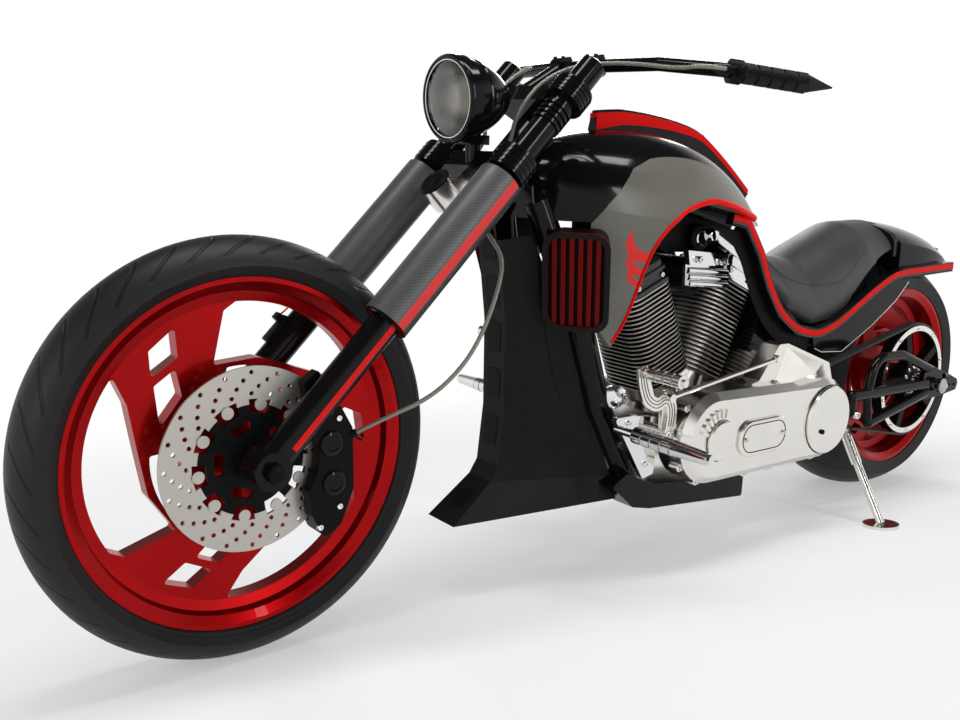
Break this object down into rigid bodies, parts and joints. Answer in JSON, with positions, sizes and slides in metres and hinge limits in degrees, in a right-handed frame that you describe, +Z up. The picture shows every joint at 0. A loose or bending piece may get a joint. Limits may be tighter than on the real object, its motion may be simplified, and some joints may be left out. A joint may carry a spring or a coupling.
{
  "type": "chopper motorcycle",
  "caption": "Long chopper motorcycle with a 45 degree V-twin, raked fork, wide rear tyre, low leather saddle and polished primary case, leaning on its side stand.",
  "frame": {"origin": "on the ground under the middle of the whole machine's bounding box", "axes": "+X forward, towards the front wheel; +Y to the rider's left; +Z up from the ground; the machine leans 5.84 degrees to its left on its stand"},
  "size_m": [2.5956, 0.9016, 1.1025],
  "materials": {
    "tyre": "matte black rubber",
    "red_paint": "gloss red paint",
    "black_paint": "gloss black paint",
    "charcoal_paint": "satin charcoal paint with a red edge",
    "carbon": "woven carbon fibre under clear lacquer",
    "steel": "brushed steel",
    "chrome": "polished chrome",
    "polished_aluminium": "polished aluminium",
    "engine_black": "black coated aluminium with bright fin edges",
    "grey_plastic": "satin dark grey plastic",
    "black_rubber": "black rubber",
    "leather": "dark grey leather",
    "lens": "clear glass",
    "lamp_red": "clear red plastic"
  },
  "bodies": {
    "machine": {"frame_head": "black_paint", "downtubes": "black_paint", "bottom_rails": "black_paint", "crankcase": "polished_aluminium", "cylinders": "engine_black", "rocker_boxes": "chrome", "intake": "engine_black", "air_cleaner": "chrome", "primary_case": "polished_aluminium", "primary_covers": "polished_aluminium", "transmission": "polished_aluminium", "oil_tank": "black_paint", "exhausts": "chrome", "fuel_tank": "black_paint", "tank_panels": "charcoal_paint", "seat": "leather", "tail": "black_paint", "tail_lamp": "lamp_red", "body_rails": "black_paint", "tail_struts": "black_paint", "air_dam": "black_paint", "scoops": "grey_plastic", "foot_controls": "chrome", "shift_lever": "chrome", "brake_pedal": "chrome", "rear_axle": "chrome", "swingarm": "black_paint", "belt": "black_rubber", "rear_caliper": "black_paint", "stand_bracket": "chrome"},
    "steering": {"front_axle": "chrome", "fork_legs": "black_paint", "fork_covers": "carbon", "fork_tubes": "black_paint", "lower_clamp": "black_paint", "upper_clamp": "black_paint", "horn": "polished_aluminium", "headlight_shell": "black_paint", "headlight_lens": "lens", "handlebar": "black_paint", "grips": "black_rubber", "hand_controls": "black_paint", "caliper": "black_paint", "brake_hose": "black_rubber", "bar_hose_left": "black_rubber", "bar_hose_right": "black_rubber"},
    "front_wheel": {"front_tyre": "tyre", "front_rim": "red_paint", "brake_disc": "steel", "disc_carrier": "black_paint", "disc_buttons": "chrome"},
    "rear_wheel": {"rear_tyre": "tyre", "rear_rim": "red_paint", "rear_pulley": "black_paint", "rear_brake_disc": "steel"},
    "side_stand": {"stand": "chrome"}
  },
  "joints": [
    {"name": "steering_turn", "type": "hinge", "parent": "machine", "child": "steering", "pos_m": [0.88501, -0.05401, 0.3266], "axis": [-0.7009, 0.0726, 0.7095], "range_deg": [-30, 30]},
    {"name": "front_wheel_spin", "type": "hinge", "parent": "steering", "child": "front_wheel", "pos_m": [0.9278, -0.04973, 0.36844], "axis": [0, 0.9948, -0.1018], "continuous": true},
    {"name": "rear_wheel_spin", "type": "hinge", "parent": "machine", "child": "rear_wheel", "pos_m": [-0.9692, -0.05389, 0.32778], "axis": [0, 0.9948, -0.1018], "continuous": true},
    {"name": "side_stand_fold", "type": "hinge", "parent": "machine", "child": "side_stand", "pos_m": [-0.6292, 0.12303, 0.21973], "axis": [0.1331, 0.8565, 0.4986], "range_deg": [0, 74]}
  ]
}
